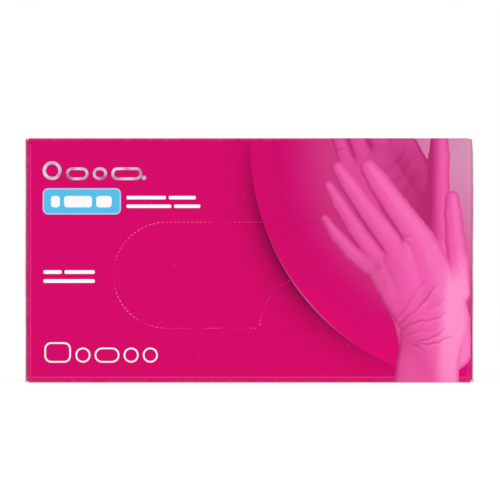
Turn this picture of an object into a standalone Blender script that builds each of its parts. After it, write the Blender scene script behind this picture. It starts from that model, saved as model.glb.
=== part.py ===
# Folded paperboard dispenser carton for disposable gloves.
# Metres, +Z up. The origin is the centre of the base, and the dispensing face looks along -Y.

import math

import bmesh
import bpy
from mathutils import Vector

mm = 0.001

# Driving sizes of the carton.
carton_width = 220 * mm
carton_depth = 65 * mm
carton_height = 120 * mm
board = 0.5 * mm
gap = 0.3 * mm

# The long round dispensing opening in the front panel, on the carton's centre line.
opening_length = 133.6 * mm
opening_height = 52.5 * mm
opening_base = 26.5 * mm

# The half-round thumb tab on the opening's bottom edge.
tab_radius = 26.6 * mm
tab_offset = 31.5 * mm

# Flaps that close the ends, and the flap that glues the sleeve shut.
inner_flap_length = 31 * mm
dust_flap_length = 28 * mm
dust_flap_taper = 0.62
flap_relief = 0.5 * mm
flap_corner = 5 * mm
glue_flap_height = 15 * mm
glue_flap_inset = 2 * mm

# The gloves lie flat in bundles that stand behind the opening.
bundle_count = 20
bundle_thickness = 2.2 * mm
glove_end_clearance = 3.5 * mm
glove_headroom = 6.5 * mm
glove_corner = 14 * mm

arc_steps = 24

# Planes that the pieces share. Each end is three layers of board: outer, inner and dust flaps.
half_width = carton_width / 2
half_depth = carton_depth / 2
layer = board + gap
outer_flap_face = half_width - board
inner_flap_face = outer_flap_face - layer
dust_flap_face = inner_flap_face - layer
opening_top = opening_base + opening_height
opening_middle = opening_base + opening_height / 2


def clear_scene():
    for item in list(bpy.data.objects):
        bpy.data.objects.remove(item, do_unlink=True)


def make_material(name, colour, roughness):
    material = bpy.data.materials.new(name)
    material.use_nodes = True
    shader = material.node_tree.nodes["Principled BSDF"]
    shader.inputs["Base Color"].default_value = (*colour, 1)
    shader.inputs["Roughness"].default_value = roughness
    material.diffuse_color = (*colour, 1)
    return material


def rectangle(left, right, low, high):
    return [(left, low), (right, low), (right, high), (left, high)]


def arc(centre, radius, start, end, steps=arc_steps):
    """Points from one angle to another, in degrees, anticlockwise."""
    points = []
    for step in range(steps + 1):
        angle = math.radians(start + (end - start) * step / steps)
        points.append((centre[0] + radius * math.cos(angle), centre[1] + radius * math.sin(angle)))
    return points


def stadium(inset):
    """The opening's outline, drawn in by the given amount."""
    radius = opening_height / 2
    reach = opening_length / 2 - radius
    points = arc((reach, opening_middle), radius - inset, -90, 90)
    points += arc((-reach, opening_middle), radius - inset, 90, 270)
    return points


def rounded_rectangle(left, right, low, high, radius):
    points = []
    corners = ((right, high, 0), (left, high, 90), (left, low, 180), (right, low, 270))
    for across, up, start in corners:
        centre = (
            across - radius if across == right else across + radius,
            up - radius if up == high else up + radius,
        )
        points += arc(centre, radius, start, start + 90, 6)
    return points


def plate(name, outline, across, low, high, hinge=(0, 0, 0), material=None):
    """A flat piece: an outline in the plane across one axis, and its two faces' places along it.

    The outline and the faces are in the carton's frame. The object's origin goes on the hinge.
    """
    order = {"x": (1, 2, 0), "y": (0, 2, 1), "z": (0, 1, 2)}[across]
    shape = bmesh.new()
    corners = []
    for first, second in outline:
        place = [0, 0, 0]
        place[order[0]] = first
        place[order[1]] = second
        place[order[2]] = low
        corners.append(shape.verts.new(Vector(place) - Vector(hinge)))
    face = shape.faces.new(corners)
    made = bmesh.ops.extrude_face_region(shape, geom=[face])
    step = Vector((0, 0, 0))
    step[order[2]] = high - low
    moved = [item for item in made["geom"] if isinstance(item, bmesh.types.BMVert)]
    bmesh.ops.translate(shape, verts=moved, vec=step)
    bmesh.ops.recalc_face_normals(shape, faces=shape.faces)
    mesh = bpy.data.meshes.new(name)
    shape.to_mesh(mesh)
    shape.free()
    piece = bpy.data.objects.new(name, mesh)
    piece.location = hinge
    bpy.context.scene.collection.objects.link(piece)
    if material:
        mesh.materials.append(material)
    return piece


def combine(piece, cutter, operation):
    """Cut or keep what the cutter covers, and take the cutter out of the model."""
    cutter.hide_render = True
    cutter.display_type = "WIRE"
    change = piece.modifiers.new(operation.lower(), "BOOLEAN")
    change.operation = operation
    change.solver = "EXACT"
    change.object = cutter


def make_sleeve(printed):
    """The four panels around the gloves, and the flap that glues them into a sleeve."""
    front_end = inner_flap_face - gap
    back_end = outer_flap_face - gap
    tops_end = dust_flap_face - gap
    inside = half_depth - board - gap
    inner_face = half_depth - board

    front = plate(
        "front_panel", rectangle(-front_end, front_end, 0, carton_height), "y",
        -half_depth, -inner_face, material=printed,
    )
    opening = plate("opening_cutter", stadium(0), "y", -carton_depth, 0)
    combine(front, opening, "DIFFERENCE")

    plate(
        "back_panel", rectangle(-back_end, back_end, 0, carton_height), "y",
        inner_face, half_depth, material=printed,
    )
    span = rectangle(-tops_end, tops_end, -inside, inside)
    plate("top_panel", span, "z", carton_height - board, carton_height, material=printed)
    plate("bottom_panel", span, "z", 0, board, material=printed)

    glued = tops_end - glue_flap_inset
    slope = glue_flap_height / 2
    flap = [
        (-glued, layer),
        (glued, layer),
        (glued - slope, layer + glue_flap_height),
        (slope - glued, layer + glue_flap_height),
    ]
    plate("glue_flap", flap, "y", inside - board, inside, material=printed)


def make_opening(printed):
    """The tear-out panel, hinged on the opening's top edge, and the thumb tab on its bottom edge."""
    inner_face = half_depth - board
    panel = plate(
        "dispensing_panel", stadium(gap), "y", -half_depth, -inner_face,
        hinge=(0, -half_depth, opening_top), material=printed,
    )
    notch = plate(
        "notch_cutter", arc((tab_offset, opening_base), tab_radius + gap, 0, 360)[:-1], "y",
        -carton_depth, 0,
    )
    combine(panel, notch, "DIFFERENCE")

    tab = plate(
        "thumb_tab", arc((tab_offset, opening_base), tab_radius, 0, 360)[:-1], "y",
        -half_depth, -inner_face, hinge=(tab_offset, -half_depth, opening_base), material=printed,
    )
    edge = plate("tab_cutter", stadium(gap), "y", -carton_depth, 0)
    combine(tab, edge, "INTERSECT")


def make_end(side, direction, printed):
    """The four flaps that close one end. The direction is -1 for the left end and 1 for the right."""

    def layer_faces(face):
        return sorted((direction * face, direction * (face + board)))

    low = flap_relief
    high = carton_height - flap_relief

    near, far = layer_faces(outer_flap_face)
    plate(
        f"{side}_outer_flap", rectangle(-half_depth, half_depth, low, high), "x", near, far,
        hinge=(direction * outer_flap_face, half_depth, carton_height / 2), material=printed,
    )

    near, far = layer_faces(inner_flap_face)
    reach = inner_flap_length - half_depth
    inner = [(-half_depth, low), (reach - flap_corner, low)]
    inner += arc((reach - flap_corner, low + flap_corner), flap_corner, -90, 0, 6)[1:]
    inner += arc((reach - flap_corner, high - flap_corner), flap_corner, 0, 90, 6)
    inner += [(-half_depth, high)]
    plate(
        f"{side}_inner_flap", inner, "x", near, far,
        hinge=(direction * inner_flap_face, -half_depth, carton_height / 2), material=printed,
    )

    near, far = layer_faces(dust_flap_face)
    root = half_depth - board - 2 * gap
    tip = root - dust_flap_taper * dust_flap_length
    for level, edge, inward in (("top", carton_height, -1), ("bottom", 0, 1)):
        turned = edge + inward * dust_flap_length
        soft = edge + inward * (dust_flap_length - flap_corner)
        shoulder = tip + dust_flap_taper * flap_corner
        outline = [
            (-root, edge),
            (root, edge),
            (shoulder, soft),
            (tip - flap_corner / 3, turned),
            (flap_corner / 3 - tip, turned),
            (-shoulder, soft),
        ]
        plate(
            f"{side}_{level}_dust_flap", outline, "x", near, far,
            hinge=(direction * dust_flap_face, 0, edge), material=printed,
        )


def make_gloves(nitrile):
    """The stack stands on the bottom panel, against the glue flap, with a headspace at the front."""
    reach = dust_flap_face - glove_end_clearance
    low = layer
    high = carton_height - layer - glove_headroom
    outline = rounded_rectangle(-reach, reach, low, high, glove_corner)
    back = half_depth - 2 * layer - gap
    for number in range(bundle_count):
        face = back - number * (bundle_thickness + gap)
        plate(
            f"glove_bundle_{number + 1:02d}", outline, "y", face - bundle_thickness, face,
            material=nitrile,
        )


clear_scene()
printed_board = make_material("printed_board", (0.66, 0.001, 0.14), 0.45)
glove_nitrile = make_material("glove_nitrile", (0.84, 0.09, 0.38), 0.5)
make_sleeve(printed_board)
make_opening(printed_board)
make_end("left", -1, printed_board)
make_end("right", 1, printed_board)
make_gloves(glove_nitrile)
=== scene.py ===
import math

import bmesh
import bpy
import numpy as np
from mathutils import Matrix, Vector, noise


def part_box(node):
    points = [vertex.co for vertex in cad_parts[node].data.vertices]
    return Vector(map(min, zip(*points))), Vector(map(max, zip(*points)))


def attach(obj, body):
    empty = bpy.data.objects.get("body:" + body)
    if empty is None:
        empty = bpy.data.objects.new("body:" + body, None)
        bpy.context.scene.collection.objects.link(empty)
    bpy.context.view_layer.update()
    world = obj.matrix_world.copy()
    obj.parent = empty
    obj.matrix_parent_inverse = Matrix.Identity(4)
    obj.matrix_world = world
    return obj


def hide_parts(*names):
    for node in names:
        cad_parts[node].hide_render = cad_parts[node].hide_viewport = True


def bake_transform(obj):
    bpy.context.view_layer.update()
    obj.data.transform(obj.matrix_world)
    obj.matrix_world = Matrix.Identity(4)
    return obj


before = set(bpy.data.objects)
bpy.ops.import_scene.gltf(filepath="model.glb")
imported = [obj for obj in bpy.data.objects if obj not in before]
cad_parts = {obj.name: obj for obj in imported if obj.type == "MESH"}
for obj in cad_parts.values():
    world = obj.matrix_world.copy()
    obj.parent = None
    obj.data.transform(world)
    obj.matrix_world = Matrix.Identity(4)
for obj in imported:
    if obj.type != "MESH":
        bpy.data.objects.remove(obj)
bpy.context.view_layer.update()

mm = 0.001
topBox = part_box("top_panel")
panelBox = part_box("dispensing_panel")
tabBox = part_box("thumb_tab")
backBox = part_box("back_panel")

cartonHeight = topBox[1][2]
halfDepth = backBox[1][1]
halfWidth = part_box("right_outer_flap")[1][0]

# how the printed board looks everywhere
board = {
    "thickness": 0.42 * mm,
    "inset": 0.12 * mm,  # the outer skin stays this far inside the frame, so that the print fits in it
    "edgeRadius": 1.0 * mm,
    "rollRadius": 0.55 * mm,
    "wave": 0.05 * mm,
}
skinFront = -halfDepth + board["inset"]
skinBack = halfDepth - board["inset"]
skinTop = cartonHeight - board["inset"]
skinBottom = board["inset"]


def linear(red, green, blue):
    # screen colour, 0 to 255, to the linear values that shaders use
    tones = []
    for value in (red, green, blue):
        tone = value / 255
        tones.append(tone / 12.92 if tone < 0.04045 else ((tone + 0.055) / 1.055) ** 2.4)
    return (*tones, 1)


def addPiece(name, mesh, materials, body=None):
    piece = bpy.data.objects.new(name, mesh)
    bpy.context.scene.collection.objects.link(piece)
    for material in materials:
        mesh.materials.append(material)
    if body:
        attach(piece, body)
    return piece


def bakeModifiers(mesh, setUp):
    # runs modifiers on a mesh through a helper object, and gives back the finished mesh
    helper = bpy.data.objects.new("helper", mesh)
    bpy.context.scene.collection.objects.link(helper)
    setUp(helper)
    bpy.context.view_layer.update()
    graph = bpy.context.evaluated_depsgraph_get()
    finished = bpy.data.meshes.new_from_object(helper.evaluated_get(graph))
    bpy.data.objects.remove(helper, do_unlink=True)
    return finished


def cutWith(mesh, cutter, operation):
    # Boolean of a mesh with a cutter mesh
    tool = bpy.data.objects.new("tool", cutter)
    bpy.context.scene.collection.objects.link(tool)

    def setUp(helper):
        change = helper.modifiers.new("cut", "BOOLEAN")
        change.operation = operation
        change.solver = "EXACT"
        change.object = tool

    finished = bakeModifiers(mesh, setUp)
    bpy.data.objects.remove(tool, do_unlink=True)
    return finished


def meshFrom(shape, name):
    bmesh.ops.recalc_face_normals(shape, faces=shape.faces)
    mesh = bpy.data.meshes.new(name)
    shape.to_mesh(mesh)
    shape.free()
    return mesh


def faceForward(mesh):
    # turns a front skin's faces to the front
    if sum(face.normal.y * face.area for face in mesh.polygons) > 0:
        mesh.flip_normals()


def thickened(mesh, thickness):
    # gives a skin its wall, on the inner side
    def setUp(helper):
        wall = helper.modifiers.new("wall", "SOLIDIFY")
        wall.thickness = thickness
        wall.offset = -1

    return bakeModifiers(mesh, setUp)


def filmFrom(shape, name, gone, thickness):
    # a front skin without some of its faces, made into a thin film
    bmesh.ops.delete(shape, geom=gone, context="FACES")
    mesh = bpy.data.meshes.new(name)
    shape.to_mesh(mesh)
    shape.free()
    faceForward(mesh)
    finished = thickened(mesh, thickness)
    finished.name = name
    finished.shade_smooth()
    return finished


def pushFaces(shape, faces, step):
    made = bmesh.ops.extrude_face_region(shape, geom=faces)
    moved = [item for item in made["geom"] if isinstance(item, bmesh.types.BMVert)]
    bmesh.ops.translate(shape, verts=moved, vec=step)


def pullEdges(shape, edges, step):
    # extrudes a run of edges, and gives back the run at its new place
    made = bmesh.ops.extrude_edge_only(shape, edges=edges)
    moved = [item for item in made["geom"] if isinstance(item, bmesh.types.BMVert)]
    bmesh.ops.translate(shape, verts=moved, vec=step)
    return [item for item in made["geom"] if isinstance(item, bmesh.types.BMEdge)]


def sliceAt(shape, axis, places):
    # cuts a shape across, so that it can bend
    normal = Vector([float(part == axis) for part in range(3)])
    for place in places:
        bmesh.ops.bisect_plane(
            shape, geom=shape.verts[:] + shape.edges[:] + shape.faces[:],
            plane_co=normal * place, plane_no=normal,
        )


def gridCuts(shape, step):
    # cuts a shape into a grid in x and z
    for axis in (0, 2):
        spots = [vert.co[axis] for vert in shape.verts]
        low, high = min(spots), max(spots)
        sliceAt(shape, axis, [low + count * step for count in range(1, int((high - low) / step) + 1)])


def prism(outline, toPlace, step):
    # a flat outline made solid: toPlace turns each outline point into a place, step is the thickness
    shape = bmesh.new()
    face = shape.faces.new([shape.verts.new(toPlace(*point)) for point in outline])
    pushFaces(shape, [face], step)
    return shape


def arcPoints(centre, radius, start, end, steps):
    points = []
    for count in range(steps + 1):
        angle = math.radians(start + (end - start) * count / steps)
        points.append((centre[0] + radius * math.cos(angle), centre[1] + radius * math.sin(angle)))
    return points


def roundedOutline(left, right, low, high, radius, steps=6):
    points = []
    corners = ((right, high, 0), (left, high, 90), (left, low, 180), (right, low, 270))
    for across, up, start in corners:
        centre = (
            across - radius if across == right else across + radius,
            up - radius if up == high else up + radius,
        )
        points += arcPoints(centre, radius, start, start + 90, steps)
    return points


def wave(x, z):
    # the slow unevenness of the front board
    return board["wave"] * noise.noise(Vector((x / 0.045, z / 0.045, 0.3)))


def setPrintMap(mesh, toPrint):
    # the print map holds millimetres on the unfolded board, over a hundred
    layer = mesh.uv_layers.new(name="print")
    for face in mesh.polygons:
        for loop in face.loop_indices:
            place = mesh.vertices[mesh.loops[loop].vertex_index].co
            u, v = toPrint(place, face.normal)
            layer.data[loop].uv = (u * 10, v * 10)


def frontPrint(place, normal):
    return place.x, place.z


def sleevePrint(place, normal):
    # the front is read as it is, and the print runs on over the top, down the back and under the base
    if abs(normal.y) >= abs(normal.z):
        if normal.y < 0:
            return place.x, place.z
        return place.x, 2 * cartonHeight + 2 * halfDepth - place.z
    if normal.z > 0:
        return place.x, cartonHeight + place.y + halfDepth
    return place.x, -place.y - halfDepth


def newMaterial(name, roughness, specular=0.3):
    material = bpy.data.materials.new(name)
    material.use_nodes = True
    shader = material.node_tree.nodes["Principled BSDF"]
    shader.inputs["Roughness"].default_value = roughness
    shader.inputs["Specular IOR Level"].default_value = specular
    return material, material.node_tree, shader


def nodeOf(tree, kind, links=(), **settings):
    # adds a node, sets its properties, and links or fills its inputs by name or number
    node = tree.nodes.new(kind)
    for key, value in settings.items():
        setattr(node, key, value)
    for key, value in dict(links).items():
        socket = node.inputs[key]
        if isinstance(value, bpy.types.NodeSocket):
            tree.links.new(value, socket)
        else:
            socket.default_value = value
    return node


def mathNode(tree, operation, first, second=0.0, clamp=False):
    return nodeOf(
        tree, "ShaderNodeMath", {0: first, 1: second}, operation=operation, use_clamp=clamp
    ).outputs[0]


def times(tree, first, second, clamp=False):
    return mathNode(tree, "MULTIPLY", first, second, clamp)


def plus(tree, first, second):
    return mathNode(tree, "ADD", first, second)


def minus(tree, first, second, clamp=False):
    return mathNode(tree, "SUBTRACT", first, second, clamp)


def vectorNode(tree, operation, first, second=None, output="Value"):
    links = {0: first} if second is None else {0: first, 1: second}
    return nodeOf(tree, "ShaderNodeVectorMath", links, operation=operation).outputs[output]


def paint(tree, shader, colour):
    tree.links.new(colour, shader.inputs["Base Color"])


def placeOn(tree):
    return nodeOf(tree, "ShaderNodeTexCoord").outputs["Object"]


def printPlace(tree):
    return nodeOf(tree, "ShaderNodeUVMap", uv_map="print").outputs[0]


def stretched(tree, place, scale):
    return nodeOf(tree, "ShaderNodeMapping", {"Vector": place, "Scale": scale}).outputs[0]


def noiseAt(tree, place, scale, detail, roughness=0.5):
    links = {"Vector": place, "Scale": scale, "Detail": detail, "Roughness": roughness}
    return nodeOf(tree, "ShaderNodeTexNoise", links).outputs[0]


def rampNode(tree, factor, stops):
    ramp = nodeOf(tree, "ShaderNodeValToRGB", {0: factor})
    elements = ramp.color_ramp.elements
    while len(elements) > 1:
        elements.remove(elements[-1])
    elements[0].position = stops[0][0]
    elements[0].color = stops[0][1]
    for place, colour in stops[1:]:
        elements.new(place).color = colour
    return ramp.outputs[0]


def mixColours(tree, factor, first, second):
    node = nodeOf(tree, "ShaderNodeMix", data_type="RGBA")
    for socket, value in ((node.inputs[0], factor), (node.inputs[6], first), (node.inputs[7], second)):
        if isinstance(value, bpy.types.NodeSocket):
            tree.links.new(value, socket)
        else:
            socket.default_value = value
    return node.outputs[2]


def bumpFrom(tree, shader, height, strength, distance):
    bump = nodeOf(tree, "ShaderNodeBump", {"Height": height, "Strength": strength, "Distance": distance})
    tree.links.new(bump.outputs[0], shader.inputs["Normal"])


inks = {
    "magenta": linear(212, 1, 104),
    "deepMagenta": linear(203, 2, 102),
    "silverPink": linear(217, 152, 186),
    "glint": linear(246, 120, 178),
    # pale pink for worn ink and scuffs, and for the painted highlight along the folds
    "wornInkAndFoldHighlight": linear(232, 120, 170),
    "clay": linear(226, 221, 214),
    "core": linear(244, 214, 224),
    "white": linear(255, 253, 255),
    "tagBlue": linear(80, 190, 232),
    "tagRim": linear(190, 200, 240),
    "silver": linear(196, 190, 204),
}

# the big round field of the print, in the print map's units
disc = {
    "centre": (1.194, 1.168, 0),
    "radius": 1.189,
    "shadowDepth": 0.78,
    "shadowReach": 0.056,
    "shadowWay": (-0.866, -0.5, 0),
    "glintWay": (-0.77, -0.64, 0),
    "lineWidth": 0.0034,
    "glint": 0.32,
}


def fieldColour(tree, place, reach, fleck):
    # flecks of silver ink, stronger where the field is paler
    share = mathNode(tree, "DIVIDE", reach, disc["radius"])
    spread = times(tree, minus(tree, fleck, 0.5), 0.10)
    share = plus(tree, share, spread)
    field = rampNode(tree, share, [
        (0.0, inks["silverPink"]),
        (0.16, linear(213, 140, 178)),
        (0.42, linear(210, 104, 156)),
        (0.66, linear(207, 58, 129)),
        (0.76, linear(205, 36, 119)),
        (0.83, linear(204, 14, 110)),
        (0.90, inks["deepMagenta"]),
        (1.0, linear(209, 2, 104)),
    ])
    # the field's plain part is a touch brighter low down
    height = nodeOf(tree, "ShaderNodeSeparateXYZ", {0: place}).outputs[1]
    low = times(tree, minus(tree, 0.75, height), 1.6, True)
    plain = times(tree, minus(tree, share, 0.70), 4.0, True)
    return mixColours(tree, times(tree, low, plain), field, linear(219, 2, 111))


def groundColour(tree, reach, way):
    # the soft shadow that the field seems to throw on the ground colour
    facing = mathNode(tree, "MAXIMUM", vectorNode(tree, "DOT_PRODUCT", way, disc["shadowWay"]), 0.0)
    past = mathNode(tree, "MAXIMUM", minus(tree, reach, disc["radius"]), 0.0)
    fade = mathNode(tree, "EXPONENT", mathNode(tree, "DIVIDE", past, -disc["shadowReach"]))
    depth = times(tree, mathNode(tree, "POWER", facing, 8.0), disc["shadowDepth"])
    return mixColours(tree, times(tree, depth, fade), inks["magenta"], linear(0, 0, 0))


def rimGlint(tree, reach, way, colour):
    # a thin glint along the lower left of the field's rim
    offRim = mathNode(tree, "ABSOLUTE", minus(tree, reach, disc["radius"]))
    onRim = mathNode(tree, "LESS_THAN", offRim, disc["lineWidth"])
    along = vectorNode(tree, "DOT_PRODUCT", way, disc["glintWay"])
    along = mathNode(tree, "POWER", mathNode(tree, "MAXIMUM", along, 0.0), 60.0)
    glint = times(tree, onRim, along)
    return mixColours(tree, times(tree, glint, disc["glint"]), colour, inks["glint"])


# lines on the front in the print's own unit of 100 mm, from its middle and its bottom fold
frontLines = {
    "sideScore": 1.073,
    "sideScoreTop": 1.17,
    "wornAndLitLowScore": 0.026,
    "topFold": 1.197,
    "sideFold": 1.092,
    "bottomFold": 0.003,
}
# lower corners where ink is torn off, and how far
tornCorners = (((1.096, 0.006, 0), 0.017), ((-1.096, 0.002, 0), 0.010))


def scoreLines(tree, across, up, colour):
    # pale lines just inside the front's side and bottom folds: ink worn along the scores, and a painted
    # highlight where the board bends there
    besideFold = mathNode(tree, "ABSOLUTE", minus(tree, across, frontLines["sideScore"]))
    aboveFold = mathNode(tree, "ABSOLUTE", minus(tree, up, frontLines["wornAndLitLowScore"]))
    wornAndLitScore = minus(tree, 1.0, mathNode(tree, "DIVIDE", besideFold, 0.006), True)
    wornAndLitScore = times(tree, wornAndLitScore, mathNode(tree, "LESS_THAN", up, frontLines["sideScoreTop"]))
    wornAndLitLowScore = minus(tree, 1.0, mathNode(tree, "DIVIDE", aboveFold, 0.008), True)
    wornAndLitScore = mathNode(tree, "MAXIMUM", wornAndLitScore, wornAndLitLowScore)
    return mixColours(tree, times(tree, wornAndLitScore, 0.10), colour, linear(250, 150, 190))


def rubbedFolds(tree, place, across, up, colour):
    # ink worn thin along the folds, and a painted highlight on each fold's bend
    topFold = mathNode(tree, "ABSOLUTE", minus(tree, up, frontLines["topFold"]))
    sideFold = mathNode(tree, "ABSOLUTE", minus(tree, across, frontLines["sideFold"]))
    bottomFold = mathNode(tree, "ABSOLUTE", minus(tree, up, frontLines["bottomFold"]))
    nearFold = mathNode(tree, "MINIMUM", mathNode(tree, "MINIMUM", topFold, sideFold), bottomFold)
    rubbedAndLit = minus(tree, times(tree, noiseAt(tree, place, 26.0, 5.0), 0.022), nearFold)
    rubbedAndLit = times(tree, mathNode(tree, "MAXIMUM", rubbedAndLit, 0.0), 60.0, True)
    return mixColours(tree, times(tree, rubbedAndLit, 0.34), colour, inks["wornInkAndFoldHighlight"])


def bareCorners(tree, place, colour):
    torn = noiseAt(tree, place, 60.0, 3.0)
    for corner, size in tornCorners:
        toCorner = vectorNode(tree, "DISTANCE", place, corner)
        reached = plus(tree, toCorner, times(tree, torn, 0.012))
        colour = mixColours(tree, mathNode(tree, "LESS_THAN", reached, size), colour, inks["clay"])
    return colour


def unevenInk(tree, place, colour):
    # slow unevenness of the ink, and a few pale scuffs
    drift = times(tree, minus(tree, noiseAt(tree, place, 3.0, 4.0), 0.5), 0.16)
    colour = mixColours(tree, mathNode(tree, "ABSOLUTE", drift), colour, linear(222, 6, 112))
    scuff = minus(tree, noiseAt(tree, place, 34.0, 3.0), 0.70, True)
    return mixColours(tree, times(tree, scuff, 1.6, True), colour, inks["wornInkAndFoldHighlight"])


def printedBoard():
    material, tree, shader = newMaterial("printedBoard", 0.42, 0.05)
    place = printPlace(tree)
    fromCentre = vectorNode(tree, "SUBTRACT", place, disc["centre"], "Vector")
    reach = vectorNode(tree, "LENGTH", fromCentre)
    way = vectorNode(tree, "NORMALIZE", fromCentre, output="Vector")
    fleck = noiseAt(tree, place, 260.0, 2.0, 0.7)
    inside = mathNode(tree, "LESS_THAN", reach, disc["radius"])
    ground = groundColour(tree, reach, way)
    colour = mixColours(tree, inside, ground, fieldColour(tree, place, reach, fleck))
    colour = rimGlint(tree, reach, way, colour)

    split = nodeOf(tree, "ShaderNodeSeparateXYZ", {0: place})
    across = mathNode(tree, "ABSOLUTE", split.outputs[0])
    up = split.outputs[1]
    colour = scoreLines(tree, across, up, colour)
    colour = rubbedFolds(tree, place, across, up, colour)
    colour = bareCorners(tree, place, colour)
    paint(tree, shader, unevenInk(tree, place, colour))

    gloss = plus(tree, times(tree, fleck, 0.10), 0.40)
    tree.links.new(gloss, shader.inputs["Roughness"])
    surface = placeOn(tree)
    fibre = noiseAt(tree, surface, 900.0, 3.0)
    peel = noiseAt(tree, surface, 260.0, 2.0)
    bumpFrom(tree, shader, plus(tree, fibre, peel), 0.16, 0.0001)
    return material


def rawBoard(name, tint, fibreTone):
    material, tree, shader = newMaterial(name, 0.85, 0.15)
    place = placeOn(tree)
    mottle = noiseAt(tree, place, 60.0, 5.0)
    fibre = noiseAt(tree, stretched(tree, place, (300.0, 2400.0, 2400.0)), 1.0, 4.0)
    colour = rampNode(tree, mottle, [(0.3, fibreTone), (0.62, tint)])
    speck = times(tree, minus(tree, fibre, 0.62, True), 2.2, True)
    colour = mixColours(tree, speck, colour, fibreTone)
    paint(tree, shader, colour)
    bumpFrom(tree, shader, fibre, 0.25, 0.0001)
    return material


def flapBoard():
    # flaps that other flaps cover carry ink only beside their crease
    material, tree, shader = newMaterial("flapBoard", 0.7, 0.2)
    place = printPlace(tree)
    fromCrease = nodeOf(tree, "ShaderNodeSeparateXYZ", {0: place}).outputs[1]
    ragged = noiseAt(tree, place, 90.0, 3.0)
    line = plus(tree, fromCrease, times(tree, ragged, 0.006))
    inked = mathNode(tree, "LESS_THAN", line, 0.055)
    mottle = noiseAt(tree, place, 8.0, 5.0)
    clay = rampNode(tree, mottle, [(0.3, linear(214, 208, 200)), (0.7, inks["clay"])])
    paint(tree, shader, mixColours(tree, inked, clay, inks["magenta"]))
    bumpFrom(tree, shader, ragged, 0.15, 0.0001)
    return material


def flatInk(name, colour, roughness, metal=0.0):
    material, tree, shader = newMaterial(name, roughness, 0.3)
    shader.inputs["Metallic"].default_value = metal
    grain = noiseAt(tree, placeOn(tree), 1800.0, 2.0)
    pale = tuple(min(1, part * 1.06) for part in colour[:3]) + (1,)
    dark = tuple(part * 0.92 for part in colour[:3]) + (1,)
    paint(tree, shader, rampNode(tree, grain, [(0.3, dark), (0.7, pale)]))
    return material


def foilInk():
    # silver foil with painted reflections, in soft bands from dark to light across each mark
    material, tree, shader = newMaterial("silverFoil", 0.3, 0.5)
    shader.inputs["Metallic"].default_value = 0.55
    reflectionBands = noiseAt(tree, placeOn(tree), 160.0, 1.0)
    stops = [(0.35, linear(150, 120, 145)), (0.5, inks["silver"]), (0.65, linear(238, 232, 240))]
    paint(tree, shader, rampNode(tree, reflectionBands, stops))
    return material


def glovePicture():
    # the printed gloves: their tone comes with the mesh, the grain from the press
    material, tree, shader = newMaterial("glovePicture", 0.42, 0.25)
    ink = nodeOf(tree, "ShaderNodeAttribute", attribute_name="ink").outputs["Color"]
    grain = noiseAt(tree, placeOn(tree), 1500.0, 2.0)
    grain = times(tree, minus(tree, grain, 0.5), 0.18)
    colour = mixColours(tree, mathNode(tree, "ABSOLUTE", grain), ink, linear(255, 170, 214))
    paint(tree, shader, colour)
    return material


def nitrile():
    # thin pink film, with painted shade down in its creases, which comes with the mesh where it has them
    material, tree, shader = newMaterial("nitrileFilm", 0.40, 0.45)
    place = placeOn(tree)
    tone = noiseAt(tree, place, 90.0, 5.0)
    colour = rampNode(tree, tone, [
        (0.32, linear(226, 66, 152)), (0.55, linear(236, 84, 167)), (0.74, linear(245, 110, 184)),
    ])
    creaseShade = nodeOf(tree, "ShaderNodeAttribute", attribute_name="creaseShade").outputs["Fac"]
    colour = mixColours(tree, creaseShade, colour, linear(150, 18, 86))
    paint(tree, shader, colour)
    shader.inputs["Subsurface Weight"].default_value = 0.10
    shader.inputs["Subsurface Radius"].default_value = (0.001, 0.0004, 0.0006)
    crinkle = noiseAt(tree, place, 420.0, 6.0)
    pull = noiseAt(tree, stretched(tree, place, (420.0, 420.0, 120.0)), 1.0, 4.0)
    height = plus(tree, crinkle, times(tree, pull, 1.4))
    bumpFrom(tree, shader, height, 0.55, 0.0005)
    return material


print("materials")
inkBoard = printedBoard()
innerBoard = rawBoard("greyBoardBack", linear(232, 227, 220), linear(219, 213, 204))
cutCore = rawBoard("boardCore", inks["core"], linear(230, 150, 184))
coveredBoard = flapBoard()
whiteInk = flatInk("whiteInk", inks["white"], 0.45)
blueInk = flatInk("blueInk", inks["tagBlue"], 0.42)
blueRim = flatInk("blueRim", inks["tagRim"], 0.45)
silverFoil = foilInk()
gloveInk = glovePicture()
film = nitrile()


opening = {
    "radius": (panelBox[1][2] - panelBox[0][2]) / 2 + 0.3 * mm,
    "middle": (panelBox[1][2] + panelBox[0][2]) / 2,
    "reach": (panelBox[1][0] - panelBox[0][0]) / 2 + 0.3 * mm,
    "tabRadius": tabBox[1][2] - tabBox[0][2] + 0.45 * mm,
    "tabCentre": tabBox[0][0] + tabBox[1][2] - tabBox[0][2] + 0.3 * mm,
    "pitch": 3.2 * mm,
    "bridge": 0.9 * mm,
    "tooth": 0.10 * mm,
    "slit": 0.02 * mm,
    "ply": 0.05 * mm,
    "foldSlit": 0.32 * mm,  # room for the tab's own thickness when it is pushed in; its teeth take back 0.1
    "dashPitch": 2.1 * mm,
    "dashLength": 1.2 * mm,
    "dashWidth": 0.36 * mm,
    "dashInside": 0.26 * mm,
}
opening["base"] = opening["middle"] - opening["radius"]


def walkOutline(points, step):
    # evenly spaced (place, direction, distance) along a closed outline
    samples = []
    lengths = [math.dist(points[i], points[(i + 1) % len(points)]) for i in range(len(points))]
    total = sum(lengths)
    count = round(total / step)
    side = 0
    passed = 0
    for number in range(count):
        goal = total * number / count
        while passed + lengths[side] < goal:
            passed += lengths[side]
            side += 1
        start, end = points[side], points[(side + 1) % len(points)]
        share = (goal - passed) / lengths[side]
        place = tuple(start[k] + (end[k] - start[k]) * share for k in (0, 1))
        way = tuple((end[k] - start[k]) / lengths[side] for k in (0, 1))
        samples.append((place, way, goal))
    return samples


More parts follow.
